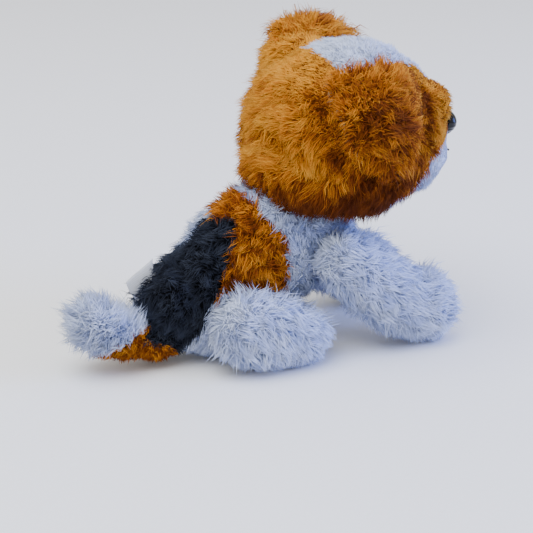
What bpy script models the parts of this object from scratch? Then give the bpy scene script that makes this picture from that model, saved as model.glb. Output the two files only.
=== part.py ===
"""A crouching long-pile plush animal, as its sewn skin panels, fillings and plastic trims.

Metres, +Z up. The toy faces +X, its own right side is -Y, and it stands on Z = 0. The origin
is on the flat patch that the rump sits on, under the rump's centre. Every soft body starts as a unit
sphere: seams cut it in unit space, a shape function puts it in place, and Solidify gives the
sewn skins their thickness. The fillings are the same shapes, one skin and one gap smaller.
"""

import math

import bmesh
import bpy
from mathutils import Matrix, Vector

# Sewing
SKIN = 0.0012  # knitted backing of the pile fabric
GAP = 0.0004  # between two pieces that lie against each other
INSIDE = SKIN + 0.0009  # from a skin's outer face to its filling
RIBBON = 0.0006  # thickness of the folded label ribbon
THREAD = 0.0005  # radius of the stitching thread

# Torso: two round masses, the rump and the chest, on one line
RUMP = Vector((0.001, 0.0, 0.029))
RUMP_RADIUS = 0.026
CHEST = Vector((0.046, 0.0, 0.058))
CHEST_RADIUS = 0.026
TORSO_HALF_WIDTH = 0.020
BACK_HUMP = 0.009  # how far the stuffed withers stand above a straight back
HUMP_PLACE = 0.15  # from -1 at the rump to 1 at the chest
BELLY_SAG = 0.0078  # how far the pellets push the belly down, to the floor
BELLY_PLACE = 0.004
BELLY_SPREAD = 0.016
BAG_TOP = 0.019  # height of the pellet bag's upper side

# Seams between the torso's panels: a point on each, and the side that its normal looks to
SADDLE_SEAM = (Vector((-0.0034, 0.0, 0.040)), Vector((0.912, 0.0, -0.410)).normalized())
CHEST_SEAM = (Vector((0.031, 0.0, 0.0)), Vector((1.0, 0.0, 0.0)))
NAPE_SEAM = (Vector((0.020, 0.0, 0.0745)), Vector((0.766, 0.0, 0.643)).normalized())
HAUNCH_SEAM = (Vector((0.0, 0.0, 0.0375)), Vector((0.0, 0.0, 1.0)))
WITHERS_HALF_WIDTH = 0.0084

# The folded ribbon in the back seam
LABEL_WIDTH = 0.017
LABEL_REACH = 0.0155  # how far the ribbon stands out of the seam
LABEL_SINK = 0.0008  # between the ribbon's root and the skin, which is curved under its width
LABEL_TURN = math.radians(172)  # where the ribbon leaves the back, seen from the right side

# How finely each round body is divided, around and along
TORSO_DETAIL = (22, 11)
HEAD_DETAIL = (26, 13)
LIMB_DETAIL = (16, 9)

# Neck: a ball between the torso's upper cut and the head's socket
NECK_AXIS = Vector((0.447, 0.0, 0.894)).normalized()
NECK_RADIUS = 0.020
TORSO_CUT = 0.018  # from the chest's centre, along the neck's axis
NECK_PIVOT = CHEST + 0.024 * NECK_AXIS
COLLAR_TOP = 0.014  # above the pivot, along the neck's axis

# Head
HEAD = Vector((0.073, 0.0, 0.108))
HEAD_RADII = Vector((0.046, 0.045, 0.041))
JAW_TILT = 0.020  # the jaw rises to the chin and hangs behind
NAPE_BULGE = 0.014
HEAD_CUT_NORMAL = Vector((0.2, 0.0, 0.98)).normalized()  # of the head's opening for the neck
MUZZLE_DIRECTION = Vector((0.978, 0.0, -0.208)).normalized()
MUZZLE_RISE = 0.010
MUZZLE_SPREAD = math.radians(27)

# Ears: flaps that lie on the head's side, sewn along a line beside the crown
EAR_HALF_WIDTH = 0.021
EAR_ROOT_ANGLE = math.radians(50)
EAR_TIP_ANGLE = math.radians(-14)
EAR_STAND_OFF = 0.0022  # between the head's skin and the lining
EAR_SET_BACK = -0.003
LEFT_EAR_BEND = 0.018  # radius of the left ear's arch, which stands up at its root
LEFT_EAR_START = math.radians(58)
EAR_LENGTH = 0.044

# Legs
LEG_INNER_FACE = TORSO_HALF_WIDTH + 0.0006
LEG_HALF_WIDTH = 0.0105
LEG_LINE = LEG_INNER_FACE + 0.0099  # distance of a leg's centre line from the mid-plane
SHOULDER = (0.060, 0.047)
FRONT_PAW = (0.1025, 0.0128)
HIP = (0.0095, 0.0205)
HIND_PAW = (0.031, 0.0128)

# Tail
TAIL_ROOT = Vector((-0.0340, 0.0, 0.0190))
TAIL_TIP = Vector((-0.0580, 0.0, 0.0260))
TAIL_ROOT_RADIUS = 0.0085
TAIL_TIP_RADIUS = 0.0125
TAIL_SAG = 0.007

# Plastic trims
EYE_RADIUS = 0.0045
EYE_DIRECTION = Vector((0.88, 0.33, 0.33)).normalized()
SHANK_RADIUS = 0.0013
SHANK_LENGTH = 0.0075
WASHER_RADIUS = 0.0042
WASHER_THICKNESS = 0.0010
NOSE_SIZE = Vector((0.0055, 0.0080, 0.0068))  # half depth, half width, half height
NOSE_BACK = 0.35 * NOSE_SIZE.x  # from the nose's centre back to the muzzle
NOSE_WRAP_RADIUS = 0.034  # the hollow in the nose's back, a little flatter than the muzzle


def start_clean():
    for item in list(bpy.data.objects):
        bpy.data.objects.remove(item, do_unlink=True)


def linear(part):
    return part / 12.92 if part <= 0.04045 else ((part + 0.055) / 1.055) ** 2.4


def material(name, colour, roughness):
    """A Principled material from an sRGB hex colour."""
    made = bpy.data.materials.new(name)
    made.use_nodes = True
    shader = made.node_tree.nodes["Principled BSDF"]
    parts = [int(colour[i : i + 2], 16) / 255 for i in (0, 2, 4)]
    shader.inputs["Base Color"].default_value = [linear(p) for p in parts] + [1.0]
    shader.inputs["Roughness"].default_value = roughness
    shader.inputs["Metallic"].default_value = 0.0
    return made


def add_object(name, mesh, stuff, group):
    made = bpy.data.objects.new(name, mesh)
    mesh.materials.append(stuff)
    group.objects.link(made)
    return made


def finish_mesh(name, shape):
    """A smooth-shaded mesh from a bmesh, which is freed."""
    bmesh.ops.recalc_face_normals(shape, faces=shape.faces)
    mesh = bpy.data.meshes.new(name)
    shape.to_mesh(mesh)
    shape.free()
    mesh.shade_smooth()
    mesh.set_sharp_from_angle(angle=math.radians(40))
    return mesh


def keep_behind(shape, point, normal, fill=False):
    """Cuts a bmesh by a plane and keeps the side that the normal points away from."""
    everything = shape.verts[:] + shape.edges[:] + shape.faces[:]
    cut = bmesh.ops.bisect_plane(
        shape, geom=everything, dist=1e-7, plane_co=point, plane_no=normal, clear_outer=True
    )
    if fill:
        rim = [e for e in cut["geom_cut"] if isinstance(e, bmesh.types.BMEdge)]
        bmesh.ops.edgeloop_fill(shape, edges=rim)


def soft_body(
    name, stuff, group, place, seams=(), trims=(), wall=None, detail=(24, 12), pole="Z", floor=None
):
    """A unit sphere, cut by seams, put in place, pressed flat at the floor, then cut by trims.

    seams and trims are (point, normal) planes: seams in unit space, trims in the toy's frame.
    With a wall the result is an open skin of that thickness, else a closed solid.
    """
    shape = bmesh.new()
    bmesh.ops.create_uvsphere(shape, u_segments=detail[0], v_segments=detail[1], radius=1.0)
    if pole == "X":
        turn = Matrix.Rotation(math.radians(90), 3, "Y")
        bmesh.ops.rotate(shape, verts=shape.verts, cent=(0, 0, 0), matrix=turn)
    for point, normal in seams:
        keep_behind(shape, point, normal)
    for vert in shape.verts:
        vert.co = place(vert.co)
    if floor is not None and min(vert.co.z for vert in shape.verts) < floor:
        keep_behind(shape, Vector((0, 0, floor)), Vector((0, 0, -1)), fill=True)
    for point, normal in trims:
        keep_behind(shape, point, normal, fill=wall is None)
    made = add_object(name, finish_mesh(name, shape), stuff, group)
    if wall:
        thicken(made, wall)
    return made


def thicken(made, wall):
    solidify = made.modifiers.new("wall", "SOLIDIFY")
    solidify.thickness = wall
    solidify.offset = -1.0
    solidify.use_even_offset = True


def cut_away(made, cutter):
    boolean = made.modifiers.new(cutter.name, "BOOLEAN")
    boolean.operation = "DIFFERENCE"
    boolean.object = cutter


def as_cutter(made):
    made.hide_render = True
    made.display_type = "WIRE"
    return made


def turned(name, stuff, group, profile, place, steps=14, closed=False):
    """A turned piece: (radius, height) points from top to bottom, about +Z, then placed.

    A closed profile joins its last point to its first, for a ring.
    """
    mesh = bpy.data.meshes.new(name)
    points = [(radius, 0.0, height) for radius, height in profile]
    links = [(i, i + 1) for i in range(len(points) - 1)]
    if closed:
        links.append((len(points) - 1, 0))
    mesh.from_pydata(points, links, [])
    made = add_object(name, mesh, stuff, group)
    screw = made.modifiers.new("turn", "SCREW")
    screw.steps = steps
    screw.render_steps = steps
    screw.use_merge_vertices = True
    screw.merge_threshold = 0.00001
    screw.use_smooth_shade = True
    made.matrix_world = place
    return made


def looking(point, direction):
    """The placement that puts local +Z along a direction, at a point."""
    return Matrix.Translation(point) @ direction.to_track_quat("Z", "Y").to_matrix().to_4x4()


# ---------------------------------------------------------------- shape functions


def capsule(start, end, start_radius, end_radius, half_width, inset=0.0, sag=0.0):
    """Stretches the unit sphere along start-end: unit +X is the end, unit +Z the upper side."""
    along = (end - start).normalized()
    across = Vector((0.0, 1.0, 0.0))
    above = along.cross(across).normalized()

    def place(unit):
        travel = max(-1.0, min(1.0, 1.5 * unit.x))
        share = 0.5 + 0.5 * travel
        radius = start_radius + (end_radius - start_radius) * share - inset
        width = (half_width or radius + inset) - inset
        centre = start.lerp(end, share)
        spot = centre + radius * (unit.x * along + unit.z * above) + width * unit.y * across
        spot.z -= sag * (1.0 - travel * travel)
        return spot

    return place


def torso_form(inset=0.0):
    """A capsule with a hump on its back, near the withers, and a belly that sags to the floor."""
    straight = capsule(RUMP, CHEST, RUMP_RADIUS, CHEST_RADIUS, TORSO_HALF_WIDTH, inset)
    above = (CHEST - RUMP).cross(Vector((0, 1, 0))).normalized()

    def place(unit):
        spot = straight(unit)
        travel = max(-1.0, min(1.0, 1.5 * unit.x)) - HUMP_PLACE
        spread = 0.95 if travel < 0 else 0.55
        spot += BACK_HUMP * max(0.0, unit.z) * math.exp(-((travel / spread) ** 2)) * above
        under = max(0.0, -unit.z) * math.exp(-(((spot.x - BELLY_PLACE) / BELLY_SPREAD) ** 2))
        spot.z -= BELLY_SAG * under
        return spot

    return place


def neck_form(inset=0.0):
    return lambda unit: NECK_PIVOT + (NECK_RADIUS - inset) * unit


def head_form(inset=0.0):
    """An ellipsoid with the muzzle swelling out of its front and a jaw that hangs behind."""

    def place(unit):
        radii = HEAD_RADII - Vector((inset, inset, inset))
        swell = MUZZLE_RISE * math.exp(-((unit.angle(MUZZLE_DIRECTION) / MUZZLE_SPREAD) ** 2))
        spot = Vector((unit.x * radii.x, unit.y * radii.y, unit.z * radii.z))
        under = max(0.0, -unit.z) ** 2
        spot.z += JAW_TILT * unit.x * under
        spot.x -= NAPE_BULGE * max(0.0, -unit.x) * under
        return HEAD + spot + swell * MUZZLE_DIRECTION

    return place


def leg_form(root, paw, root_radius, paw_radius, side, inset=0.0):
    line = side * LEG_LINE
    start = Vector((root[0], line, root[1]))
    end = Vector((paw[0], line, paw[1]))
    return capsule(start, end, root_radius, paw_radius, LEG_HALF_WIDTH, inset)


def tail_form(inset=0.0):
    """From the tip to the root, so that unit +Z stays the upper side."""
    return capsule(
        TAIL_TIP, TAIL_ROOT, TAIL_TIP_RADIUS, TAIL_ROOT_RADIUS, None, inset, sag=TAIL_SAG
    )


# ---------------------------------------------------------------- torso


def plane(normal, offset):
    """A plane at a distance from the centre, along a normal that points out of what is kept."""
    normal = Vector(normal).normalized()
    return (offset * normal, normal)


def opposite(cut, gap):
    """The other side of a seam, one gap away."""
    point, normal = cut
    return (point + gap * normal, -normal)


def build_torso(group, stuff):
    neck_cut = (CHEST + TORSO_CUT * NECK_AXIS, NECK_AXIS)
    left_edge = (Vector((0.0, WITHERS_HALF_WIDTH, 0.0)), Vector((0.0, 1.0, 0.0)))
    right_edge = (Vector((0.0, -WITHERS_HALF_WIDTH, 0.0)), Vector((0.0, -1.0, 0.0)))
    mantle = [
        opposite(SADDLE_SEAM, GAP), CHEST_SEAM, NAPE_SEAM, opposite(HAUNCH_SEAM, GAP)
    ]
    panels = {
        "saddle_panel": ("black_pile", [SADDLE_SEAM]),
        "seat_panel": ("white_pile", [opposite(SADDLE_SEAM, GAP), CHEST_SEAM, HAUNCH_SEAM]),
        "withers_panel": ("tan_pile", [*mantle, left_edge, right_edge]),
        "shoulder_panel_left": ("tan_pile", [*mantle, opposite(left_edge, GAP)]),
        "shoulder_panel_right": ("tan_pile", [*mantle, opposite(right_edge, GAP)]),
        "nape_panel": ("white_pile", [opposite(NAPE_SEAM, GAP), CHEST_SEAM]),
        "chest_panel": ("white_pile", [opposite(CHEST_SEAM, GAP), neck_cut]),
    }
    for name, (slot, seams) in panels.items():
        soft_body(
            name, stuff[slot], group, torso_form(),
            trims=seams, wall=SKIN, detail=TORSO_DETAIL, pole="X", floor=0.0,
        )
    above_bag = (Vector((0, 0, BAG_TOP + GAP)), Vector((0, 0, -1)))
    inner_cut = (neck_cut[0] - GAP * NECK_AXIS, NECK_AXIS)
    soft_body(
        "torso_filling", stuff["filling"], group, torso_form(INSIDE),
        trims=[inner_cut, above_bag], detail=TORSO_DETAIL, pole="X",
    )
    below_top = (Vector((0, 0, BAG_TOP)), Vector((0, 0, 1)))
    soft_body(
        "pellet_bag", stuff["bag_cloth"], group, torso_form(INSIDE + GAP),
        trims=[below_top], detail=TORSO_DETAIL, pole="X", floor=INSIDE + GAP,
    )
    build_label(group, stuff["ribbon"])
    build_closing_seam(group, stuff["thread"])


def build_label(group, stuff):
    """A folded ribbon that stands out of the middle back seam, in the mid-plane."""
    out = Vector((math.cos(LABEL_TURN), 0.0, math.sin(LABEL_TURN)))
    shape = bmesh.new()
    bmesh.ops.create_cube(shape, size=1.0)
    bmesh.ops.scale(shape, vec=(RIBBON, LABEL_WIDTH, LABEL_REACH), verts=shape.verts)
    upright = [e for e in shape.edges if abs(e.verts[0].co.x - e.verts[1].co.x) > RIBBON / 2]
    outer = [e for e in upright if e.verts[0].co.z > 0]
    bmesh.ops.bevel(shape, geom=outer, offset=0.0015, segments=3, affect="EDGES", profile=0.5)
    made = add_object("sewn_in_label", finish_mesh("sewn_in_label", shape), stuff, group)
    along = (CHEST - RUMP).normalized()
    above = along.cross(Vector((0, 1, 0)))
    foot = torso_form(-LABEL_SINK)(Vector((out.dot(along), 0.0, out.dot(above))))
    made.matrix_world = looking(foot + LABEL_REACH / 2 * out, out)


def build_closing_seam(group, stuff):
    """The hand-sewn thread along the belly where the filling went in."""
    outside = torso_form(-(THREAD + GAP))
    turns = [math.radians(-12 + 6 * i) for i in range(9)]
    points = [outside(Vector((math.sin(a), 0.0, -math.cos(a)))) for a in turns]
    tube("closing_seam", points, THREAD, stuff, group)


def tube(name, points, radius, stuff, group):
    """A thread through the points, as a closed mesh."""
    curve = bpy.data.curves.new(name, "CURVE")
    curve.dimensions = "3D"
    curve.bevel_depth = radius
    curve.bevel_resolution = 1
    curve.use_fill_caps = True
    line = curve.splines.new("POLY")
    line.points.add(len(points) - 1)
    for spot, point in zip(line.points, points):
        spot.co = (*point, 1.0)
    return add_object(name, curve, stuff, group)


# ---------------------------------------------------------------- neck


def build_neck(group, stuff):
    bottom = (CHEST + (TORSO_CUT + GAP) * NECK_AXIS, -NECK_AXIS)
    top = (NECK_PIVOT + COLLAR_TOP * NECK_AXIS, NECK_AXIS)
    soft_body(
        "neck_collar", stuff["white_pile"], group, neck_form(), trims=[bottom, top], wall=SKIN
    )
    soft_body(
        "neck_filling", stuff["filling"], group, neck_form(INSIDE), trims=[bottom]
    )


# ---------------------------------------------------------------- head


def trim_spot(direction):
    """The point of the head's skin in a direction, and the skin's normal there."""
    place = head_form()
    side = direction.cross(Vector((0, 0, 1))).normalized()
    above = side.cross(direction).normalized()
    step = 0.02
    middle = place(direction)
    one = place((direction + step * side).normalized()) - middle
    two = place((direction + step * above).normalized()) - middle
    return middle, two.cross(one).normalized()


def washer_profile():
    hole = SHANK_RADIUS + 0.0003
    top = 0.0
    return [
        (hole, top), (WASHER_RADIUS, top - 0.0003), (WASHER_RADIUS, top - WASHER_THICKNESS),
        (hole, top - WASHER_THICKNESS),
    ]


def fasten(group, cutters, stuff, name, spot, normal, skin, filling):
    """The lock washer behind a plastic trim, the hole in the skin and the filling's pocket."""
    depth = INSIDE + 0.0020
    place = looking(spot, normal)
    washer = Matrix.Translation(-depth * normal) @ place
    turned(name, stuff, group, washer_profile(), washer, closed=True)
    hole = [(0, 0.004), (SHANK_RADIUS + 0.0004, 0.004), (SHANK_RADIUS + 0.0004, -0.006), (0, -0.006)]
    hole_cutter = as_cutter(turned(name + "_hole", stuff, cutters, hole, place, 12))
    wide = WASHER_RADIUS + 0.0008
    floor = -(depth + WASHER_THICKNESS + 0.0006)
    narrow = SHANK_RADIUS + 0.0006
    pocket = [
        (0, 0.003), (wide, 0.003), (wide, floor), (narrow, floor),
        (narrow, -(SHANK_LENGTH + 0.001)), (0, -(SHANK_LENGTH + 0.001)),
    ]
    pocket_cutter = as_cutter(turned(name + "_pocket", stuff, cutters, pocket, place, 16))
    cut_away(skin, hole_cutter)
    cut_away(filling, pocket_cutter)


def eye_profile():
    """A domed bead on a plain shank; height 0 is the skin."""
    foot = 0.0006
    dome = [
        (EYE_RADIUS * math.sin(a), foot + 0.85 * EYE_RADIUS * math.cos(a))
        for a in [math.radians(18 * i) for i in range(6)]
    ]
    return dome + [
        (EYE_RADIUS * 0.8, foot - 0.0002), (SHANK_RADIUS, foot - 0.0002),
        (SHANK_RADIUS, -SHANK_LENGTH), (0.0, -SHANK_LENGTH),
    ]


def build_nose(group, cutters, stuff, spot, normal):
    """A rounded triangle, wider above than below, moulded with its shank."""
    shape = bmesh.new()
    bmesh.ops.create_uvsphere(shape, u_segments=16, v_segments=10, radius=1.0)
    for vert in shape.verts:
        unit = vert.co.copy()
        width = NOSE_SIZE.y * (1.0 + 0.28 * unit.z)
        vert.co = Vector((NOSE_SIZE.x * unit.x, width * unit.y, NOSE_SIZE.z * unit.z))
        reach = vert.co.yz.length_squared
        vert.co.x = max(vert.co.x, -NOSE_BACK - reach / (2 * NOSE_WRAP_RADIUS))
    stand = Matrix.Translation(spot + (NOSE_BACK + GAP) * normal)
    lean = Vector((1, 0, 0)).rotation_difference(normal).to_matrix().to_4x4()
    shape.transform(stand @ lean)
    made = add_object("nose", finish_mesh("nose", shape), stuff, group)
    shank = [
        (0, 0.004), (SHANK_RADIUS, 0.004), (SHANK_RADIUS, -SHANK_LENGTH), (0, -SHANK_LENGTH)
    ]
    joined = as_cutter(turned("nose_shank", stuff, cutters, shank, looking(spot, normal), 16))
    union = made.modifiers.new("shank", "BOOLEAN")
    union.operation = "UNION"
    union.object = joined


def build_mouth(group, stuff):
    """One stitched line under the nose, curving back on both sides."""
    outside = head_form(-(THREAD + GAP))
    points = []
    for i in range(13):
        share = (i - 6) / 6
        unit = Vector((0.93 - 0.13 * share**2, 0.30 * share, -0.44 + 0.10 * share**2))
        points.append(outside(unit.normalized()))
    tube("mouth_stitch", points, THREAD, stuff, group)


def build_head(group, cutters, stuff):
    gap = GAP / HEAD_RADII.z
    neck_side = (NECK_PIVOT, -HEAD_CUT_NORMAL)
    # The blaze narrows to the front, so its two side seams lean outwards to the back.
    right_of_blaze = plane((0.42, -1.0, 0), 0.553)
    left_of_blaze = plane((0.42, 1.0, 0), 0.553)
    behind_blaze = plane((-1, 0, -0.253), 0.1476)
    under_blaze = plane((0, 0, -1), 0.10)
    muzzle_seam = plane(MUZZLE_DIRECTION, 0.86)
    middle = [right_of_blaze, left_of_blaze]
    panels = {
        "head_blaze_panel": ("white_pile", [*middle, behind_blaze, under_blaze, muzzle_seam]),
        "head_back_panel": ("tan_pile", [*middle, opposite(behind_blaze, gap)]),
        "head_chin_gusset": (
            "tan_pile", [*middle, behind_blaze, opposite(under_blaze, gap), muzzle_seam]
        ),
        "head_side_panel_right": ("tan_pile", [opposite(right_of_blaze, gap), muzzle_seam]),
        "head_side_panel_left": ("tan_pile", [opposite(left_of_blaze, gap), muzzle_seam]),
        "muzzle_panel": ("white_pile", [opposite(muzzle_seam, gap)]),
    }
    skins = {}
    for name, (slot, seams) in panels.items():
        skins[name] = soft_body(
            name, stuff[slot], group, head_form(), seams, [neck_side], SKIN, HEAD_DETAIL
        )
    filling = soft_body(
        "head_filling", stuff["filling"], group, head_form(INSIDE),
        trims=[(NECK_PIVOT + GAP * HEAD_CUT_NORMAL, -HEAD_CUT_NORMAL)], detail=HEAD_DETAIL,
    )
    socket = as_cutter(
        soft_body(
            "neck_socket", stuff["filling"], cutters,
            lambda unit: NECK_PIVOT + (NECK_RADIUS + 0.0010) * unit, detail=HEAD_DETAIL,
        )
    )
    cut_away(filling, socket)
    for side, label in ((1, "left"), (-1, "right")):
        direction = Vector((EYE_DIRECTION.x, side * EYE_DIRECTION.y, EYE_DIRECTION.z))
        spot, normal = trim_spot(direction)
        turned("eye_" + label, stuff["eye_plastic"], group, eye_profile(), looking(spot, normal))
        fasten(
            group, cutters, stuff["washer_plastic"], "eye_washer_" + label,
            spot, normal, skins["head_side_panel_" + label], filling,
        )
    spot, normal = trim_spot(Vector((0.995, 0.0, -0.06)).normalized())
    build_nose(group, cutters, stuff["nose_plastic"], spot, normal)
    fasten(
        group, cutters, stuff["washer_plastic"], "nose_washer",
        spot, normal, skins["muzzle_panel"], filling,
    )
    build_mouth(group, stuff["thread"])


# ---------------------------------------------------------------- ears


def ear_root(side):
    """The middle of the seam that sews an ear to the head, on its hinge line."""
    radius_y = HEAD_RADII.y + EAR_STAND_OFF
    radius_z = HEAD_RADII.z + EAR_STAND_OFF
    return HEAD + Vector(
        (
            EAR_SET_BACK,
            side * radius_y * math.cos(EAR_ROOT_ANGLE),
            radius_z * math.sin(EAR_ROOT_ANGLE),
        )
    )


def hanging_ear(side, stand_off, down, level):
    """How far out and up a hanging ear is at a share of its length: it follows the head."""
    angle = EAR_ROOT_ANGLE + (EAR_TIP_ANGLE - EAR_ROOT_ANGLE) * down
    out = level * (HEAD_RADII.y + stand_off) * math.cos(angle)
    return side * out, level * (HEAD_RADII.z + stand_off) * math.sin(angle)


def arched_ear(side, stand_off, down, level):
    """The same for an ear that stands up at its root and arches over."""
    root = ear_root(side) - HEAD
    bend = LEFT_EAR_BEND + stand_off
    angle = LEFT_EAR_START - EAR_LENGTH / LEFT_EAR_BEND * down
    out = LEFT_EAR_BEND * math.sin(LEFT_EAR_START) - bend * math.sin(angle)
    rise = bend * math.cos(angle) - LEFT_EAR_BEND * math.cos(LEFT_EAR_START)
    return root.y + side * out, root.z + rise - (1.0 - level) * HEAD_RADII.z


def ear_flap(name, stuff, group, side, stand_off, path):
    """A flap with a rounded tip, bent along a path that starts at the ear's seam."""
    shape = bmesh.new()
    bmesh.ops.create_grid(shape, x_segments=7, y_segments=7, size=1.0)
    for vert in shape.verts:
        across = vert.co.x
        down = 0.5 + 0.5 * vert.co.y
        narrowing = math.sqrt(max(0.0, 1.0 - (0.25 + 0.75 * down) ** 3.2)) + 0.04
        reach = across * EAR_HALF_WIDTH * narrowing
        level = math.sqrt(1.0 - (reach / HEAD_RADII.x) ** 2)
        y, z = path(side, stand_off, down, level)
        vert.co = HEAD + Vector((EAR_SET_BACK + reach, y, z))
    mesh = finish_mesh(name, shape)
    outward = Vector((0.0, side, 0.6))
    if sum(((p.normal.dot(outward)) * p.area for p in mesh.polygons)) < 0:
        mesh.flip_normals()
    thicken(add_object(name, mesh, stuff, group), SKIN)


def build_ears(group, stuff):
    for side, label, path in ((1, "left", arched_ear), (-1, "right", hanging_ear)):
        lining = EAR_STAND_OFF + SKIN
        ear_flap("ear_lining_" + label, stuff["lining_pile"], group, side, lining, path)
        ear_flap("ear_" + label, stuff["tan_pile"], group, side, lining + SKIN + GAP, path)


# ---------------------------------------------------------------- legs and tail


def build_legs(group, stuff):
    pairs = {
        "front_leg": (SHOULDER, FRONT_PAW, 0.0140, 0.0140),
        "hind_leg": (HIP, HIND_PAW, 0.0180, 0.0140),
    }
    for side, label in ((1, "left"), (-1, "right")):
        for name, (root, paw, root_radius, paw_radius) in pairs.items():
            inner = (Vector((0, side * LEG_INNER_FACE, 0)), Vector((0, -side, 0)))
            deeper = (Vector((0, side * (LEG_INNER_FACE + GAP), 0)), Vector((0, -side, 0)))
            skin = leg_form(root, paw, root_radius, paw_radius, side)
            soft_body(
                f"{name}_{label}", stuff["white_pile"], group, skin,
                trims=[inner], wall=SKIN, detail=LIMB_DETAIL, pole="X", floor=0.0,
            )
            inside = leg_form(root, paw, root_radius, paw_radius, side, INSIDE)
            soft_body(
                f"{name}_filling_{label}", stuff["filling"], group, inside,
                trims=[deeper], detail=LIMB_DETAIL, pole="X", floor=INSIDE,
            )


def build_tail(group, stuff):
    gap = GAP / TAIL_TIP_RADIUS
    root_seam = plane((-0.75, 0, -0.66), -0.30)
    tip_seam = plane((0.92, 0, -0.38), 0.0)
    between = [opposite(root_seam, gap), opposite(tip_seam, gap)]
    rump_side = plane((1, 0, 0), 0.93)
    panels = {
        "tail_root_panel": ("black_pile", [root_seam, rump_side, opposite(tip_seam, gap)]),
        "tail_shaft_panel": ("tan_pile", between),
        "tail_tip_panel": ("white_pile", [tip_seam]),
    }
    for name, (slot, seams) in panels.items():
        soft_body(
            name, stuff[slot], group, tail_form(), seams, [], SKIN, LIMB_DETAIL, "X", 0.0
        )
    soft_body(
        "tail_filling", stuff["filling"], group, tail_form(INSIDE + 2 * GAP),
        detail=LIMB_DETAIL, pole="X", floor=INSIDE,
    )


def main():
    start_clean()
    group = bpy.data.collections.new("plush_animal")
    cutters = bpy.data.collections.new("cutters")
    for collection in (group, cutters):
        bpy.context.scene.collection.children.link(collection)
    stuff = {
        "tan_pile": material("tan_pile", "C2781F", 0.95),
        "white_pile": material("white_pile", "D8DCE2", 0.95),
        "black_pile": material("black_pile", "1C1F28", 0.9),
        "lining_pile": material("lining_pile", "CDAA7A", 0.95),
        "filling": material("filling", "EDEDE8", 1.0),
        "bag_cloth": material("bag_cloth", "C9C6BE", 0.9),
        "ribbon": material("ribbon", "F2F2F2", 0.5),
        "thread": material("thread", "2A2320", 0.8),
        "eye_plastic": material("eye_plastic", "120C09", 0.12),
        "nose_plastic": material("nose_plastic", "08090C", 0.15),
        "washer_plastic": material("washer_plastic", "E4E1D8", 0.4),
    }
    build_torso(group, stuff)
    build_neck(group, stuff)
    build_head(group, cutters, stuff)
    build_ears(group, stuff)
    build_legs(group, stuff)
    build_tail(group, stuff)


main()
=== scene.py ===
"""The looks of a crouching long-pile plush toy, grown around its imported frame.

Each soft body gets a closed backing, swelled a little over its filling, and one coat of pile
for each sewn panel. A coat is many small tapered tufts, combed, clumped and bent as crushed
acrylic pile is. The nose, the eye beads, the ribbon label and the stitched mouth are made here
as well. The fillings, the pellet bag, the washers and the closing seam stay as they are packed.
"""

import math

import bmesh
import bpy
import numpy as np
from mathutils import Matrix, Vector
from mathutils.bvhtree import BVHTree
from mathutils.kdtree import KDTree


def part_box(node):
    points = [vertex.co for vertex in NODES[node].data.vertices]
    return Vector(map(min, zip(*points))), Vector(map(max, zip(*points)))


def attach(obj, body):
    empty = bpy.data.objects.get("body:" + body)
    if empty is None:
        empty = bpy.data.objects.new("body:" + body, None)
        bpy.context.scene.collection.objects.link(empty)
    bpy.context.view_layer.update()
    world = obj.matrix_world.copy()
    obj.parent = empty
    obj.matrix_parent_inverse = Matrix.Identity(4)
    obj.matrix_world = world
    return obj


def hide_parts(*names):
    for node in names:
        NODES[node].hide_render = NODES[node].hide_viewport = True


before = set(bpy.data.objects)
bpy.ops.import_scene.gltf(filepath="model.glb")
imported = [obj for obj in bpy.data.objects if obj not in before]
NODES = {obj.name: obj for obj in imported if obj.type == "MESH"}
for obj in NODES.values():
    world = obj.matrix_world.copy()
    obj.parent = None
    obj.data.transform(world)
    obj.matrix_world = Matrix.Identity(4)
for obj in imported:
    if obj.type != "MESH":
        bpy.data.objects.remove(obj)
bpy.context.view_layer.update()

# ---------------------------------------------------------------- camera, floor and light

VIEW_AZIMUTH = math.radians(-25)
VIEW_ELEVATION = math.radians(20)
VIEW_DISTANCE = 0.70
AIM = Vector((0.0295, 0.0, 0.0407))
LENS_MM = 94.6
SENSOR_MM = 36
LAMP_AIM = Vector((0.03, 0, 0.06))


def deselect():
    for item in bpy.context.selected_objects:
        item.select_set(False)


def activate(item):
    deselect()
    item.hide_viewport = False
    item.select_set(True)
    bpy.context.view_layer.objects.active = item


def place_camera():
    lens = bpy.data.cameras.new("camera")
    lens.lens = LENS_MM
    lens.sensor_width = SENSOR_MM
    camera = bpy.data.objects.new("camera", lens)
    bpy.context.scene.collection.objects.link(camera)
    flat = math.cos(VIEW_ELEVATION)
    away = Vector((
        math.sin(VIEW_AZIMUTH) * flat, -math.cos(VIEW_AZIMUTH) * flat, math.sin(VIEW_ELEVATION)
    ))
    camera.location = AIM + VIEW_DISTANCE * away
    camera.rotation_euler = away.to_track_quat("Z", "Y").to_euler()
    bpy.context.scene.camera = camera


def place_lamp(name, spot, size, power, colour):
    """A square area lamp that looks at the toy."""
    lamp = bpy.data.lights.new(name, "AREA")
    lamp.size = size
    lamp.energy = power
    lamp.color = linear_colour(colour)[:3]
    stand = bpy.data.objects.new(name, lamp)
    stand.location = spot
    stand.rotation_euler = (Vector(spot) - LAMP_AIM).to_track_quat("Z", "Y").to_euler()
    bpy.context.scene.collection.objects.link(stand)


def set_stage():
    deselect()
    bpy.ops.mesh.primitive_plane_add(size=8, location=(0, 0, 0))
    floor = bpy.context.object
    floor.name = "floor"
    floor.data.materials.append(paper())
    world = bpy.data.worlds.new("studio")
    world.use_nodes = True
    sky = world.node_tree.nodes["Background"]
    sky.inputs["Color"].default_value = linear_colour("F0EEEA")
    sky.inputs["Strength"].default_value = 1.15
    bpy.context.scene.world = world
    place_lamp("window_right", (1.30, -0.75, 0.60), 0.9, 32.0, "7E9EFF")
    place_lamp("soft_top", (-0.50, -0.25, 1.50), 1.3, 30.0, "F2F6FF")


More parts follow.
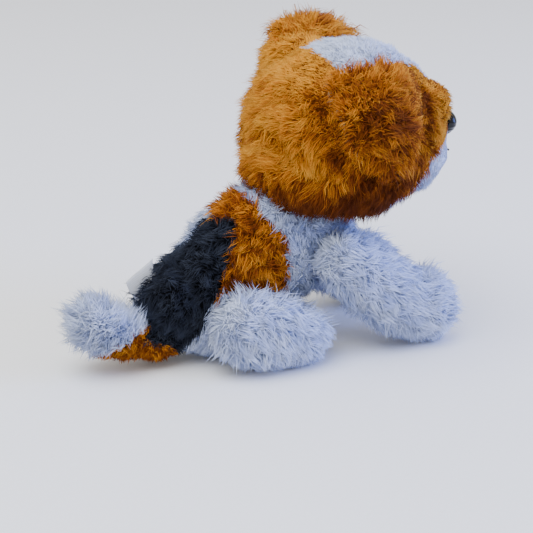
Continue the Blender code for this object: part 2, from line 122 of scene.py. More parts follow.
# ---------------------------------------------------------------- materials


def linear_colour(code):
    """An sRGB hex colour as linear red, green, blue and alpha."""
    parts = [int(code[i : i + 2], 16) / 255 for i in (0, 2, 4)]
    return [p / 12.92 if p <= 0.04045 else ((p + 0.055) / 1.055) ** 2.4 for p in parts] + [1.0]


def new_material(name, **sockets):
    """A material and its shader, with plain values set on the shader's own sockets."""
    made = bpy.data.materials.new(name)
    made.use_nodes = True
    shader = made.node_tree.nodes["Principled BSDF"]
    for socket, value in sockets.items():
        shader.inputs[socket.replace("_", " ")].default_value = value
    return made, shader


def add_node(made, kind, settings=None, values=None, links=None):
    """Adds a shader node, with its settings, its plain input values and its input links."""
    node = made.node_tree.nodes.new(kind)
    for name, value in (settings or {}).items():
        setattr(node, name, value)
    for name, value in (values or {}).items():
        node.inputs[name].default_value = value
    for name, source in (links or {}).items():
        made.node_tree.links.new(source, node.inputs[name])
    return node


def grain(made, size, **values):
    """Noise in the object's own space, with features of about the given size."""
    place = add_node(made, "ShaderNodeTexCoord").outputs["Object"]
    noise = add_node(
        made, "ShaderNodeTexNoise", values={"Scale": 1 / size, **values}, links={"Vector": place}
    )
    return noise.outputs["Fac"]


# Diagonal waves of this scale are about a metre apart.
RIB_SCALE = 0.31


def ribs(made, size, **values):
    """Diagonal ribs in the object's own space, about the given size apart."""
    place = add_node(made, "ShaderNodeTexCoord").outputs["Object"]
    wave = add_node(made, "ShaderNodeTexWave", {"bands_direction": "DIAGONAL"},
                    {"Scale": RIB_SCALE / size, **values}, {"Vector": place})
    return wave.outputs["Fac"]


def multiply(made, one, two):
    mixed = add_node(made, "ShaderNodeMix", {"data_type": "RGBA", "blend_type": "MULTIPLY"},
                     {0: 1.0}, {6: one, 7: two})
    return mixed.outputs[2]


def add_bump(made, shader, height, strength, distance):
    bump = add_node(made, "ShaderNodeBump", values={"Strength": strength, "Distance": distance},
                    links={"Height": height})
    made.node_tree.links.new(bump.outputs["Normal"], shader.inputs["Normal"])


def paint(made, shader, source):
    made.node_tree.links.new(source, shader.inputs["Base Color"])


def colour_steps(made, source, steps):
    """A colour ramp from (position, hex colour) steps."""
    ramp = add_node(made, "ShaderNodeValToRGB", links={"Fac": source})
    bar = ramp.color_ramp.elements
    while len(bar) < len(steps):
        bar.new(0.5)
    for mark, (position, code) in zip(bar, steps):
        mark.position = position
        mark.color = linear_colour(code)
    return ramp.outputs["Color"]


def paper():
    # Seamless background paper: pale, quite matt, with a faint tooth of about 2 mm.
    made, shader = new_material("background_paper", Roughness=0.9)
    paint(made, shader, colour_steps(made, grain(made, 0.002), [(0.0, "F4F4F4"), (1.0, "FAFAFA")]))
    return made


def pile(name, strand, dye_and_painted_shade, sheen, tint):
    """Acrylic pile: dark at the root and bright at the tip, with its own tone in each tuft.

    strand is the ramp from root to tip; its dark root is painted shade deep in the pile. The
    other ramp holds the tones that it is multiplied by: one tone a tuft, shifted by crush marks
    about 9 mm wide and by the coat's painted light and shade.
    """
    made, shader = new_material(
        name, Roughness=0.85, Sheen_Weight=sheen, Sheen_Roughness=0.5, Specular_IOR_Level=0.15
    )
    shader.inputs["Sheen Tint"].default_value = linear_colour(tint)
    thread = add_node(made, "ShaderNodeSeparateXYZ", links={
        "Vector": add_node(made, "ShaderNodeUVMap", {"uv_map": "strand"}).outputs["UV"]
    })
    along = colour_steps(made, thread.outputs["Y"], strand)
    crushed = add_node(made, "ShaderNodeMath", {"operation": "MULTIPLY_ADD"},
                       {1: 0.6, 2: -0.3}, {0: grain(made, 0.009, Detail=2.0)})
    tone = add_node(made, "ShaderNodeMath", {"operation": "ADD"},
                    links={0: thread.outputs["X"], 1: crushed.outputs[0]})
    paint(made, shader, multiply(made, along, colour_steps(made, tone.outputs[0], dye_and_painted_shade)))
    return made


def backing_cloth():
    # Knitted polyester backing under the pile, dyed with it and darker: painted shade, which shows
    # only as dark roots.
    made, shader = new_material("knitted_backing", Roughness=0.95, Specular_IOR_Level=0.1)
    dye_and_painted_shade = add_node(made, "ShaderNodeAttribute", {"attribute_name": "dye_and_root_shade"}).outputs["Color"]
    knit = grain(made, 0.0015)
    shade = colour_steps(made, knit, [(0.3, "B0B0B0"), (0.7, "FFFFFF")])
    paint(made, shader, multiply(made, dye_and_painted_shade, shade))
    add_bump(made, shader, knit, 0.5, 0.0004)
    return made


STUFF = {
    # Tan acrylic pile: golden tips over brown roots, the brown being painted shade deep in the
    # pile, a little glossy along the strand.
    "tan_pile": pile(
        "tan_acrylic_pile",
        [(0.0, "7E3E0E"), (0.4, "C47818"), (0.8, "E49C2C"), (1.0, "F2B44C")],
        [(0.0, "5C3C2C"), (0.3, "A07A62"), (0.55, "E4CEB8"), (0.8, "FFFFFF")], 0.04, "FFC890",
    ),
    # White acrylic pile: white, with a cool cast that is painted light of the cool window lamp,
    # and greyer towards the root in painted shade.
    "white_pile": pile(
        "white_acrylic_pile",
        [(0.0, "9AA6C8"), (0.4, "C6D2EE"), (1.0, "DCE6FE")],
        [(0.0, "A0AACA"), (0.65, "FFFFFF")], 0.12, "FFFFFF",
    ),
    # Black acrylic pile: blue-black, greyer towards the tips and darkest at the root in painted
    # shade.
    "black_pile": pile(
        "black_acrylic_pile",
        [(0.0, "08090C"), (0.5, "1B1E27"), (1.0, "434957")],
        [(0.0, "8A8E9C"), (0.7, "FFFFFF")], 0.25, "8FA0C8",
    ),
    # Short beige pile inside the ears, darker at the root in painted shade.
    "lining_pile": pile(
        "beige_short_pile",
        [(0.0, "7A5A34"), (0.5, "B98F5C"), (1.0, "D9B98A")],
        [(0.0, "B8A890"), (0.6, "FFFFFF")], 0.12, "FFE8C8",
    ),
}
# Each backing dye is darker than its pile: painted shade at the roots of the pile.
BACKING_DYE_AND_ROOT_SHADE = {"tan_pile": "7A4212", "white_pile": "A6B0CE", "black_pile": "0C0D11",
                "lining_pile": "8A6A42"}

# ---------------------------------------------------------------- forms


def copy_nodes(name, nodes):
    """One merged mesh from copies of CAD nodes."""
    deselect()
    copies = []
    for node in nodes:
        twin = bpy.data.objects.new(name, NODES[node].data.copy())
        bpy.context.scene.collection.objects.link(twin)
        twin.data.materials.clear()
        twin.select_set(True)
        copies.append(twin)
    bpy.context.view_layer.objects.active = copies[0]
    if len(copies) > 1:
        bpy.ops.object.join()
    merged = bpy.context.object
    bpy.ops.object.mode_set(mode="EDIT")
    bpy.ops.mesh.select_all(action="SELECT")
    bpy.ops.mesh.remove_doubles(threshold=0.00001)
    bpy.ops.object.mode_set(mode="OBJECT")
    return merged


def add_mass(form, centre, radii, lean=0.0):
    """Joins an ellipsoid to a form, leaning about the crosswise axis, in degrees."""
    deselect()
    bpy.ops.mesh.primitive_ico_sphere_add(subdivisions=4, radius=1.0, location=centre)
    mass = bpy.context.object
    mass.scale = radii
    mass.rotation_euler.y = math.radians(lean)
    bpy.ops.object.transform_apply(location=True, rotation=True, scale=True)
    form.select_set(True)
    bpy.context.view_layer.objects.active = form
    bpy.ops.object.join()


def apply_modifier(item, kind, **settings):
    activate(item)
    made = item.modifiers.new(kind.lower(), kind)
    for name, value in settings.items():
        setattr(made, name, value)
    bpy.ops.object.modifier_apply(modifier=made.name)


def rounded_form(form, voxel, swell, smoothing=6):
    """Melts a joined form into one skin and swells it outwards."""
    apply_modifier(form, "REMESH", mode="VOXEL", voxel_size=voxel)
    apply_modifier(form, "SMOOTH", factor=0.5, iterations=smoothing)
    apply_modifier(form, "DISPLACE", strength=swell, mid_level=0.0, direction="NORMAL")
    apply_modifier(form, "SMOOTH", factor=0.5, iterations=3)


def numbers(collection, field, width):
    out = np.zeros(len(collection) * width, np.float32)
    collection.foreach_get(field, out)
    return out.reshape(-1, width).astype(np.float64)


def move_points(mesh, points):
    mesh.vertices.foreach_set("co", points.reshape(-1).astype(np.float32))
    mesh.update()


def face_tree(mesh):
    """A mesh's faces, for finding the nearest one or the first one along a line."""
    corners = [v.co.copy() for v in mesh.vertices]
    return BVHTree.FromPolygons(corners, [p.vertices[:] for p in mesh.polygons])


def unit(vectors):
    return vectors / np.maximum(np.linalg.norm(vectors, axis=-1, keepdims=True), 1e-12)


class Skin:
    """The triangles of a form, for scattering roots on it."""

    def __init__(self, form):
        mesh = form.data
        mesh.calc_loop_triangles()
        self.points = numbers(mesh.vertices, "co", 3)
        self.normals = numbers(mesh.vertices, "normal", 3)
        corners = np.zeros(len(mesh.loop_triangles) * 3, np.int32)
        mesh.loop_triangles.foreach_get("vertices", corners)
        self.corners = corners.reshape(-1, 3)
        a, b, c = (self.points[self.corners[:, i]] for i in range(3))
        self.areas = np.linalg.norm(np.cross(b - a, c - a), axis=1) / 2

    def scatter(self, rng, density):
        """Roots at a number a square millimetre, with the skin's normal at each."""
        count = int(self.areas.sum() * 1e6 * density)
        edges = np.cumsum(self.areas)
        pick = np.searchsorted(edges, rng.random(count) * edges[-1])
        one = np.sqrt(rng.random(count))[:, None]
        two = rng.random(count)[:, None]
        weights = (1 - one, one * (1 - two), one * two)
        corner = self.corners[np.minimum(pick, len(self.corners) - 1)]
        spots = sum(w * self.points[corner[:, i]] for i, w in enumerate(weights))
        normals = unit(sum(w * self.normals[corner[:, i]] for i, w in enumerate(weights)))
        return spots, normals


RIPPLE_WAVES = 7
RIPPLE_SCALE = 2.6


def ripple(rng, points, size):
    """Smooth random vectors, about 1 long, that change over about the given size."""
    out = np.zeros_like(points)
    for _ in range(RIPPLE_WAVES):
        wave = rng.normal(size=3)
        wave *= 2 * math.pi / (size * np.linalg.norm(wave)) * rng.uniform(0.6, 1.6)
        out += np.sin(points @ wave + rng.uniform(0, 2 * math.pi))[:, None] * rng.normal(size=3)
    return out / RIPPLE_SCALE


def nearest_panel(points, panels):
    """For each point, the number of the nearest CAD panel."""
    corners = []
    faces = []
    owner = []
    for number, panel in enumerate(panels):
        mesh = NODES[panel].data
        start = len(corners)
        corners.extend(v.co.copy() for v in mesh.vertices)
        faces.extend([start + i for i in p.vertices] for p in mesh.polygons)
        owner.extend([number] * len(mesh.polygons))
    tree = BVHTree.FromPolygons(corners, faces)
    found = np.zeros(len(points), np.int32)
    for i, point in enumerate(points):
        found[i] = owner[tree.find_nearest(Vector(point))[2]]
    return found


# ---------------------------------------------------------------- pile

FLOOR_CLEAR = 0.0003
FLOOR_SPREAD = 0.0012
ROOT_DEPTH = 0.0004
ROOT_RISE = 0.8
BEND_AT = 0.5
BEND_GATHER = 0.35
BEND_WIDTH = 0.85
TONE_LIMITS = (0.02, 0.98)


def tufts(rng, spots, normals, comb, length, width, clumps, style):
    """Tapered three-sided tufts: each one's 7 corner points, its tone and the way it is lit."""
    count = len(spots)
    leaders = rng.choice(count, max(8, count // clumps), replace=False)
    tree = KDTree(len(leaders))
    for i, leader in enumerate(leaders):
        tree.insert(Vector(spots[leader]), i)
    tree.balance()
    jitter = spots + rng.normal(size=(count, 3)) * style["ragged"]
    group = np.array([tree.find(Vector(p))[1] for p in jitter])
    lead = leaders[group]
    sway = unit(rng.normal(size=(len(leaders), 3)))[group] * style["lean"]
    loose = rng.normal(size=(count, 3)) * style["stray"]
    reach = (length * (1 + style["uneven"] * rng.normal(size=count)).clip(0.45, 1.5))[:, None]
    tall = (1 + 0.18 * rng.normal(size=len(leaders))).clip(0.6, 1.4)[group][:, None]
    reach = reach * tall
    aim = unit(normals * style["upright"] + comb + sway + loose)
    head = unit(normals[lead] * style["upright"] + comb[lead] + sway)
    shared = spots[lead] + head * reach
    tip = spots + aim * reach
    tip = tip + (shared - tip) * style["gather"]
    # A tuft leaves the skin more upright than it ends, and its bend is drawn to its leader's.
    start = unit(normals * (style["upright"] + ROOT_RISE) + 0.5 * (comb + sway + loose))
    drawn = BEND_GATHER * style["gather"]
    middle = spots * (1 - drawn) + spots[lead] * drawn + start * reach * BEND_AT
    middle = middle + rng.normal(size=(count, 3)) * style["curl"] * reach
    root = spots - normals * ROOT_DEPTH
    line = unit(tip - root)
    side = unit(np.cross(line, unit(rng.normal(size=(count, 3)))))
    other = np.cross(line, side)
    half = (width / 2 * (1 + 0.25 * rng.normal(size=count)).clip(0.5, 1.6))[:, None]
    corners = np.zeros((count, 7, 3))
    for i in range(3):
        turn = 2 * math.pi * i / 3
        around = math.cos(turn) * side + math.sin(turn) * other
        corners[:, i] = root + around * half
        corners[:, 3 + i] = middle + around * half * BEND_WIDTH
    corners[:, 6] = tip
    low = FLOOR_CLEAR + FLOOR_SPREAD * rng.random(count)[:, None]
    corners[:, :, 2] = np.maximum(corners[:, :, 2], low)
    tone = 0.5 + 0.22 * rng.uniform(-1, 1, len(leaders))[group] + 0.18 * rng.uniform(-1, 1, count)
    # Tufts that face downwards are darkened: painted shade on the undersides.
    overhung = np.minimum(normals[:, 2] + 0.25, 0.0)
    tone = tone + style["painted_underside_shade"] * overhung + style["tone"]
    facing = unit(normals + 0.45 * aim + 0.35 * sway)
    return corners, tone.clip(*TONE_LIMITS), facing


TUFT_FACES = np.array([
    (0, 1, 4), (0, 4, 3), (1, 2, 5), (1, 5, 4), (2, 0, 3), (2, 3, 5),
    (3, 4, 6), (4, 5, 6), (5, 3, 6), (2, 1, 0),
])
TUFT_CORNERS = 7
TUFT_HEIGHT = np.array([0.0, 0.0, 0.0, 0.55, 0.55, 0.55, 1.0])


def build_coat(name, corners, tone, facing, stuff):
    """One mesh from all of a panel's tufts, with a strand UV map: tone across, height up.

    Each tuft is shaded mostly as the surface under it, because pile scatters light softly.
    """
    count = len(corners)
    mesh = bpy.data.meshes.new(name)
    faces = (TUFT_FACES[None] + TUFT_CORNERS * np.arange(count)[:, None, None]).reshape(-1)
    total = count * len(TUFT_FACES)
    mesh.vertices.add(count * TUFT_CORNERS)
    mesh.vertices.foreach_set("co", corners.reshape(-1).astype(np.float32))
    mesh.loops.add(total * 3)
    mesh.loops.foreach_set("vertex_index", faces.astype(np.int32))
    mesh.polygons.add(total)
    mesh.polygons.foreach_set("loop_start", np.arange(total, dtype=np.int32) * 3)
    mesh.update(calc_edges=True)
    mesh.polygons.foreach_set("use_smooth", np.ones(total, bool))
    strand = np.zeros((total * 3, 2), np.float32)
    strand[:, 0] = np.repeat(tone, len(TUFT_FACES) * 3)
    strand[:, 1] = np.tile(TUFT_HEIGHT[TUFT_FACES.reshape(-1)], count)
    mesh.uv_layers.new(name="strand").data.foreach_set("uv", strand.reshape(-1))
    mesh.materials.append(stuff)
    rings = corners[:, :6]
    around = unit(rings - rings.reshape(-1, 2, 3, 3).mean(2).repeat(3, axis=1))
    shading = np.concatenate([unit(facing[:, None] + 0.30 * around), facing[:, None]], axis=1)
    mesh.normals_split_custom_set_from_vertices(shading.reshape(-1, 3).astype(np.float32))
    coat = bpy.data.objects.new(name, mesh)
    bpy.context.scene.collection.objects.link(coat)
    return coat


# How the tufts of a coat stand, part and gather, and the painted shade on their undersides, unless
# the coat says otherwise.
STYLE = {
    "upright": 1.0, "lean": 0.35, "stray": 0.22, "gather": 0.55, "curl": 0.06, "uneven": 0.18,
    "ragged": 0.0012, "painted_underside_shade": 0.45, "tone": 0.0,
}


def coat_body(body, form, panels, seed, density, length, width, comb, clumps=18,
              wander=0.0011, repaint=None, shade=None, **style):
    """Grows the pile of every panel of a body, and turns the form into its dyed backing.

    panels maps a CAD panel to its material slot. length and comb are functions of the roots.
    wander is how far a border strays. repaint may give a root to another panel, and shade may
    darken or lighten it with painted light and shade.
    """
    rng = np.random.default_rng(seed)
    skin = Skin(form)
    names = list(panels)
    spots, normals = skin.scatter(rng, density)
    warp = ripple(rng, spots, 0.006) * wander
    owner = nearest_panel(spots + warp, names)
    if repaint:
        owner = repaint(spots + warp, owner)
    lengths = length(spots, normals)
    ways = comb(spots, normals) + 0.25 * ripple(rng, spots, 0.016)
    ways = ways - (ways * normals).sum(1)[:, None] * normals
    # The pile that the toy sits on is pressed short.
    standing = np.clip((spots[:, 2] - 0.002) / 0.014, 0.0, 1.0)
    lengths = lengths * (0.35 + 0.65 * standing)
    corners, tone, facing = tufts(
        rng, spots, normals, ways, lengths, width, clumps, {**STYLE, **style}
    )
    if shade:
        tone = (tone + shade(spots)).clip(*TONE_LIMITS)
    for number, panel in enumerate(names):
        chosen = owner == number
        if not chosen.any():
            continue
        slot = panels[panel]
        coat = build_coat(
            panel + "_pile", corners[chosen], tone[chosen], facing[chosen], STUFF[slot]
        )
        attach(coat, body)
        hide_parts(panel)
    finish_backing(form, body, names, panels, lengths.mean(), repaint)


def finish_backing(form, body, names, panels, depth, repaint):
    """The form becomes the backing and the dense foot of the pile, dyed panel by panel and
    darkened as painted shade at the roots.
    """
    form.name = body + "_backing"
    mesh = form.data
    points = numbers(mesh.vertices, "co", 3)
    normals = numbers(mesh.vertices, "normal", 3)
    owner = nearest_panel(points, names)
    if repaint:
        owner = repaint(points, owner)
    rng = np.random.default_rng(11)
    lumps = ripple(rng, points, 0.005)[:, 0]
    points = points + normals * (depth * (0.25 + 0.08 * lumps))[:, None]
    points[:, 2] = np.maximum(points[:, 2], FLOOR_CLEAR + 0.0008)
    move_points(mesh, points)
    dye_and_root_shade = np.array([linear_colour(BACKING_DYE_AND_ROOT_SHADE[panels[n]]) for n in names])[owner]
    layer = mesh.color_attributes.new(name="dye_and_root_shade", type="FLOAT_COLOR", domain="POINT")
    layer.data.foreach_set("color", dye_and_root_shade.reshape(-1).astype(np.float32))
    mesh.materials.clear()
    mesh.materials.append(BACKING)
    mesh.shade_smooth()
    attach(form, body)


BACKING = backing_cloth()


def even(amount):
    return lambda spots, normals: np.full(len(spots), amount)


def toward(direction, amount):
    way = np.array(Vector(direction).normalized()) * amount
    return lambda spots, normals: np.tile(way, (len(spots), 1))


def middle_of(*nodes):
    corners = [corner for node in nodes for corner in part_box(node)]
    low = [min(c[i] for c in corners) for i in range(3)]
    high = [max(c[i] for c in corners) for i in range(3)]
    return (Vector(low) + Vector(high)) / 2


# ---------------------------------------------------------------- bodies


def distance_to(node, points):
    """How far points are from a CAD node."""
    tree = face_tree(NODES[node].data)
    return np.array([tree.find_nearest(Vector(point))[3] for point in points])


def build_head():
    form = copy_nodes("head_form", ["head_filling"])
    # The filling hangs a little over the back of the neck and fills out the lifted ear's root.
    add_mass(form, (0.0470, 0.0, 0.0905), (0.0205, 0.0270, 0.0165), 12)
    add_mass(form, (0.0610, 0.0260, 0.1350), (0.0140, 0.0140, 0.0120), 12)
    # The chin, the bridge of the nose, the muzzle's two lobes and a cheek beside each eye.
    add_mass(form, (0.1060, 0.0, 0.0868), (0.0150, 0.0165, 0.0112))
    add_mass(form, (0.1085, 0.0, 0.1125), (0.0165, 0.0105, 0.0145))
    for side in (1, -1):
        add_mass(form, (0.1105, side * 0.0085, 0.0925), (0.0115, 0.0095, 0.0105))
        add_mass(form, (0.1035, side * 0.0210, 0.1200), (0.0105, 0.0085, 0.0100))
    rounded_form(form, 0.0016, 0.0021, 10)
    nose = np.array(middle_of("nose"))
    lobe = np.array(middle_of("ear_right"))
    middle = np.array([0.073, 0.0, 0.108])
    muzzle_way = np.array([0.77, 0.0, -0.64])
    panels = {
        "head_blaze_panel": "white_pile", "head_back_panel": "tan_pile",
        "head_chin_gusset": "tan_pile", "head_side_panel_right": "tan_pile",
        "head_side_panel_left": "tan_pile", "muzzle_panel": "white_pile",
    }
    blaze, _, _, right, left, muzzle = range(len(panels))

    def length(spots, normals):
        # Longer away from the nose, and shorter under the hanging ear and on the crown.
        share = np.clip((np.linalg.norm(spots - nose, axis=1) - 0.018) / 0.042, 0, 1)
        covered = np.clip((distance_to("ear_lining_right", spots) - 0.003) / 0.008, 0, 1)
        top = np.clip((normals[:, 2] - 0.45) / 0.4, 0, 1)
        return (0.0012 + 0.0070 * share) * (0.35 + 0.65 * covered) * (1 - 0.55 * top)

    def repaint(spots, owner):
        # The white chin reaches back under the jaw. The bridge of the nose is tan, and so is
        # the root of the lifted ear.
        ahead = (spots - middle) @ muzzle_way
        chin = (ahead > 0.0255) & (np.abs(spots[:, 1]) < 0.034) & (spots[:, 2] < 0.1020)
        bridge = (owner == muzzle) & ~chin
        sides = np.where(spots[:, 1] < 0, right, left)
        ear_root = (owner == blaze) & (spots[:, 1] > 0.012) & (spots[:, 0] < 0.072)
        return np.where(chin, muzzle, np.where(bridge | ear_root, sides, owner))

    def shade(spots):
        # Painted shade in the fold round the hanging ear and under the jaw. Painted light at the
        # back and on the crown. Brighter on the bridge of the nose.
        beside = np.abs(np.linalg.norm((spots - lobe)[:, [0, 2]], axis=1) - 0.026)
        painted_fold_shade = np.exp(-((beside / 0.004) ** 2)) * (spots[:, 1] < -0.02)
        back = np.clip((0.070 - spots[:, 0]) / 0.030, 0, 1)
        under = np.clip((0.098 - spots[:, 2]) / 0.016, 0, 1)
        under = under * np.clip((0.100 - spots[:, 0]) / 0.020, 0.35, 1)
        ahead = np.clip((spots[:, 0] - 0.095) / 0.015, 0, 1)
        top = np.clip((spots[:, 2] - 0.128) / 0.010, 0, 1)
        return 0.02 + 0.15 * back + 0.22 * ahead + 0.40 * top - 0.60 * under - 0.28 * painted_fold_shade

    def comb(spots, normals):
        # Back from the nose and down.
        return unit(spots - nose) * 0.45 + np.array([0.0, 0.0, -0.30])

    coat_body(
        "head", form, panels, 3, 2.6, length, 0.00045, comb, 22, repaint=repaint, shade=shade,
        lean=0.28, stray=0.13, gather=0.30, uneven=0.10, curl=0.06,
    )


def build_torso():
    form = copy_nodes("torso_form", ["torso_filling", "pellet_bag"])
    # The rump is fullest over the root of the tail.
    add_mass(form, (-0.0205, 0.0, 0.0320), (0.0125, 0.0120, 0.0140), 20)
    rounded_form(form, 0.0016, 0.0023, 10)
    panels = {
        "saddle_panel": "black_pile", "seat_panel": "white_pile", "withers_panel": "tan_pile",
        "shoulder_panel_left": "tan_pile", "shoulder_panel_right": "tan_pile",
        "nape_panel": "white_pile", "chest_panel": "white_pile",
    }
    saddle, _, withers, _, _, nape, _ = range(len(panels))

    def length(spots, normals):
        front = np.clip((spots[:, 0] - 0.028) / 0.010, 0, 1)
        return 0.0066 - 0.0012 * front

    def repaint(spots, owner):
        # Tan fur covers the top of the saddle, above a white patch on the left of the spine.
        top = (owner == saddle) & (spots[:, 2] > 0.0700)
        patch = (owner == saddle) & (spots[:, 1] > 0.0015) & (spots[:, 2] > 0.0560) & ~top
        return np.where(top, withers, np.where(patch, nape, owner))

    coat_body(
        "torso", form, panels, 5, 2.4, length, 0.00046, toward((-0.7, 0, -0.7), 0.5), 26,
        repaint=repaint, lean=0.35, curl=0.09, tone=-0.14,
    )


def build_neck():
    form = copy_nodes("neck_form", ["neck_filling"])
    rounded_form(form, 0.0014, 0.0021)
    coat_body(
        "neck", form, {"neck_collar": "white_pile"}, 7, 1.6, even(0.0050), 0.00046,
        toward((-0.5, 0, -0.8), 0.6),
    )


def build_leg(kind, side, seed):
    node = f"{kind}_{side}"
    form = copy_nodes(node + "_form", [f"{kind}_filling_{side}"])
    way = (0.35, 0, -0.75)
    if kind == "front_leg":
        # The paw is fuller than the leg and turns up at its toe.
        way = (0.75, 0, -0.5)
        low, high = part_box(node)
        middle = (low.y + high.y) / 2
        add_mass(form, (high.x - 0.0135, middle, 0.0185), (0.0105, 0.0090, 0.0140))
    rounded_form(form, 0.0014, 0.0021, 5)
    coat_body(
        node, form, {node: "white_pile"}, seed, 2.1, even(0.0072), 0.00048, toward(way, 0.7),
        lean=0.5,
    )


def build_tail():
    form = copy_nodes("tail_form", ["tail_filling"])
    add_mass(form, (-0.0300, 0.0, 0.0125), (0.0130, 0.0095, 0.0070))
    rounded_form(form, 0.0014, 0.0015, 5)
    tip_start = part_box("tail_tip_panel")[1].x
    panels = {
        "tail_root_panel": "black_pile", "tail_shaft_panel": "tan_pile",
        "tail_tip_panel": "white_pile",
    }
    _, shaft, tip = range(len(panels))

    def length(spots, normals):
        # Longest on the white tip, and less so underneath it.
        share = np.clip((tip_start + 0.002 - spots[:, 0]) / 0.012, 0, 1)
        raised = np.clip((spots[:, 2] - 0.012) / 0.010, 0.15, 1)
        return 0.0050 + 0.0034 * share * raised

    def repaint(spots, owner):
        # The tan underside of the tail turns up round the root of the white tip.
        line = 0.0225 + 0.30 * (spots[:, 0] + 0.045)
        low_side = (spots[:, 2] < line - 0.004) & (owner == tip)
        return np.where(low_side, shaft, owner)

    coat_body(
        "tail", form, panels, 19, 2.6, length, 0.00046, toward((-1, 0, 0.4), 0.3),
        repaint=repaint, lean=0.25,
    )


def skin_normals(form, points):
    """The outward direction of the form's face nearest to each point."""
    tree = face_tree(form.data)
    return np.array([tree.find_nearest(Vector(point))[1] for point in points])


def taper_flap(form, root, reach, pinch, droop):
    """Narrows an ear towards its tip, which also droops, as a stuffed flap does."""
    points = numbers(form.data.vertices, "co", 3)
    share = np.clip((np.abs(points[:, 1]) - root.y) / reach, 0, 1)
    points[:, 0] = root.x + (points[:, 0] - root.x) * (1 - pinch * share)
    points[:, 2] -= droop * share
    move_points(form.data, points)


def build_ear(side, seed):
    ear = "ear_" + side
    lining = "ear_lining_" + side
    form = copy_nodes(ear + "_form", [ear, lining])
    if side == "left":
        taper_flap(form, Vector((0.078, 0.030, 0)), 0.036, 0.60, 0.006)
    rounded_form(form, 0.0009, 0.0002, 3)
    middle = np.array(middle_of(ear))
    bend = np.array([0.0, 0.0456, 0.1280]) if side == "left" else np.array([0.0, 0.0, 0.108])
    outer, inner = range(2)

    def repaint(spots, owner):
        # The lining is the side that faces the line the ear bends round.
        hollow = ((spots - bend) * skin_normals(form, spots))[:, 1:].sum(1) < 0
        return np.where(hollow, inner, outer)

    def length(spots, normals):
        # The hanging ear's front edge is worn short.
        front = np.clip((0.0905 - spots[:, 0]) / 0.012, 0.3, 1) if side == "right" else 1.0
        return np.where(repaint(spots, None) == outer, 0.0074, 0.0030) * front

    def shade(spots):
        # Painted shade on the hanging lobe, darkest at its middle.
        if side == "left":
            return 0.06
        away = np.linalg.norm((spots - middle)[:, [0, 2]], axis=1)
        return -0.38 * np.exp(-((away / 0.013) ** 2))

    def comb(spots, normals):
        return unit(spots - middle) * 0.35 + np.array([0.0, 0.0, -0.25])

    panels = {ear: "tan_pile", lining: "lining_pile"}
    coat_body(
        ear, form, panels, seed, 2.8, length, 0.00044, comb, 30, wander=0.0, repaint=repaint,
        shade=shade, lean=0.40, gather=0.50, curl=0.10,
    )


# ---------------------------------------------------------------- trims


def moulded_plastic(name, code, roughness):
    # Injection-moulded ABS, gloss, with a faint orange-peel ripple about 1.5 mm wide.
    made, shader = new_material(name, Roughness=roughness, IOR=1.45, Specular_IOR_Level=0.35)
    peel = grain(made, 0.0015)
    paint(made, shader, colour_steps(made, peel, [(0.0, code), (1.0, "0C0C10")]))
    add_bump(made, shader, peel, 0.08, 0.0002)
    return made


def sphere_in_box(name, low, high, stuff):
    """A ball that fills a box, ready to be shaped."""
    deselect()
    bpy.ops.mesh.primitive_uv_sphere_add(segments=48, ring_count=28, radius=1.0)
    ball = bpy.context.object
    ball.name = name
    ball.location = (low + high) / 2
    ball.scale = (high - low) / 2
    bpy.ops.object.transform_apply(location=True, rotation=True, scale=True)
    ball.data.materials.append(stuff)
    ball.data.shade_smooth()
    return ball


def select_where(item, test):
    """Enters edit mode with the corner points that pass a test selected."""
    activate(item)
    bpy.ops.object.mode_set(mode="EDIT")
    bpy.ops.mesh.select_mode(type="VERT")
    bpy.ops.mesh.select_all(action="DESELECT")
    shape = bmesh.from_edit_mesh(item.data)
    for vert in shape.verts:
        vert.select_set(bool(test(vert.co)))
    shape.select_flush_mode()
    bmesh.update_edit_mesh(item.data)


def build_nose():
    """A button nose, narrower towards its foot, with two shallow nostrils."""
    depth = 0.0105
    nostril_radius = 0.0017
    nostril_depth = 0.0011
    low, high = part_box("nose")
    low.x = high.x - depth
    gloss = moulded_plastic("gloss_black_plastic", "050507", 0.16)
    nose = sphere_in_box("nose_trim", low, high, gloss)
    centre = (low + high) / 2
    for level, narrower in ((0.0002, 0.93), (-0.0020, 0.88), (-0.0040, 0.84)):
        select_where(nose, lambda spot: spot.z < centre.z + level)
        bpy.ops.transform.resize(value=(1.0, narrower, 1.0), center_override=centre)
        bpy.ops.object.mode_set(mode="OBJECT")
    for side in (1, -1):
        spot = Vector((high.x - 0.0012, side * 0.0030, centre.z - 0.0014))
        select_where(nose, lambda point: (point - spot).length < nostril_radius)
        bpy.ops.transform.translate(value=(-nostril_depth, 0.0, 0.0))
        bpy.ops.object.mode_set(mode="OBJECT")
    apply_modifier(nose, "SUBSURF", levels=1, render_levels=1)
    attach(nose, "head")
    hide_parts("nose")


def build_eyes():
    """The eye beads, smoothed from the CAD's."""
    stuff = moulded_plastic("gloss_brown_black_plastic", "0E0906", 0.10)
    for side in ("left", "right"):
        bead = copy_nodes("eye_bead_" + side, ["eye_" + side])
        apply_modifier(bead, "SUBSURF", levels=2, render_levels=2)
        bead.data.materials.append(stuff)
        bead.data.shade_smooth()
        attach(bead, "head")
        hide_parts("eye_" + side)


def satin_ribbon():
    # Polyester satin ribbon: fine ribs about half a millimetre apart, white, a soft sheen.
    made, shader = new_material("satin_ribbon", Roughness=0.45, Sheen_Weight=0.3)
    weave = ribs(made, 0.0005, Distortion=0.6)
    paint(made, shader, colour_steps(made, weave, [(0.0, "B4B8C0"), (1.0, "D2D5DA")]))
    add_bump(made, shader, weave, 0.2, 0.0001)
    return made


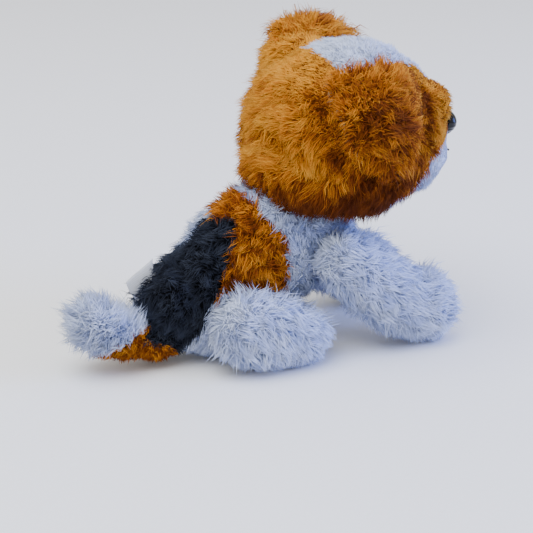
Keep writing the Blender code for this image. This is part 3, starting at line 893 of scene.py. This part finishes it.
def build_label():
    """A blank ribbon folded in two, which leaves the back seam and curls up beside the pile."""
    width = 0.017
    reach = 0.0155
    leaf_gap = 0.00028
    fold_size = 0.0012
    rise = math.radians(-8)
    curl = math.radians(-44)
    lean = 6.0
    low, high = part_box("sewn_in_label")
    deselect()
    bpy.ops.mesh.primitive_grid_add(x_subdivisions=24, y_subdivisions=62, size=1.0)
    label = bpy.context.object
    label.name = "ribbon_label"
    flat = numbers(label.data.vertices, "co", 3)
    along = flat[:, 1] * 2 * reach
    away = reach - np.abs(along)
    leaf = np.sign(along) * leaf_gap * np.clip((reach - away) / fold_size, 0, 1) ** 0.5
    across = flat[:, 0] * width
    lift = rise + curl * np.clip(away / reach, 0, 1)
    level = np.zeros_like(lift)
    foot = np.array([high.x - 0.0025, 0.0, (low.z + high.z) / 2 + 0.0015])
    out = np.stack([-np.cos(lift), level, -np.sin(lift)], axis=1)
    cross = np.stack([np.sin(lift), level, -np.cos(lift)], axis=1)
    points = foot + out * away[:, None] + cross * across[:, None]
    points[:, 1] += leaf + 0.0007 * np.sin(across * 240) + lean * away**2
    move_points(label.data, points)
    apply_modifier(label, "SOLIDIFY", thickness=0.00012, offset=0.0)
    label.data.materials.append(satin_ribbon())
    label.data.shade_smooth()
    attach(label, "torso")
    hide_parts("sewn_in_label")


def thread_material():
    # Twisted polyester thread: about 2 twists a millimetre, dark brown, matt.
    made, shader = new_material("twisted_thread", Roughness=0.8, Sheen_Weight=0.2)
    paint(made, shader, colour_steps(made, ribs(made, 0.0005), [(0.0, "17110D"), (1.0, "3A2C22")]))
    return made


def build_mouth(thread):
    """The stitched mouth, brought forward to lie in the short pile of the muzzle."""
    proud = 0.0009
    ahead = 0.2
    mouth = copy_nodes("mouth_thread", ["mouth_stitch"])
    tree = face_tree(bpy.data.objects["head_backing"].data)
    points = numbers(mouth.data.vertices, "co", 3)
    stations = np.linspace(points[:, 1].min(), points[:, 1].max(), 7)
    nearest = np.abs(points[:, 1][:, None] - stations).argmin(axis=1)
    shifts = []
    for number, station in enumerate(stations):
        middle = points[nearest == number].mean(axis=0)
        front = tree.ray_cast(Vector((ahead, station, middle[2])), Vector((-1, 0, 0)))[0]
        shifts.append(front.x + proud - middle[0])
    points[:, 0] += np.interp(points[:, 1], stations, shifts)
    move_points(mouth.data, points)
    mouth.data.materials.append(thread)
    mouth.data.shade_smooth()
    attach(mouth, "head")
    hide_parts("mouth_stitch")


def plain_cloth(name, dark, light, size, roughness):
    """A matt material with a fine mottle of a given size."""
    made, shader = new_material(name, Roughness=roughness)
    paint(made, shader, colour_steps(made, grain(made, size), [(0.3, dark), (0.7, light)]))
    return made


def dress_cad_nodes(thread):
    """Materials for the CAD pieces that stay: fillings, bag, washers and the closing seam."""
    # Polyester fibre fill, plain woven bag cloth and natural polypropylene washers.
    fill = plain_cloth("polyester_fibre", "D8D8D2", "F2F2EE", 0.002, 1.0)
    bag = plain_cloth("woven_bag_cloth", "B9B5AB", "D2CEC4", 0.0007, 0.9)
    washer = plain_cloth("natural_polypropylene", "DAD6CA", "EAE7DE", 0.001, 0.4)
    for name, node in NODES.items():
        stuff = fill if "filling" in name else bag if "bag" in name else washer
        if name == "closing_seam":
            stuff = thread
        if not node.hide_render:
            node.data.materials.clear()
            node.data.materials.append(stuff)


place_camera()
set_stage()
build_head()
build_torso()
build_neck()
for number, side in enumerate(("left", "right")):
    build_leg("front_leg", side, 31 + number)
    build_leg("hind_leg", side, 41 + number)
    build_ear(side, 51 + number)
build_tail()
build_nose()
build_eyes()
build_label()
thread = thread_material()
build_mouth(thread)
dress_cad_nodes(thread)
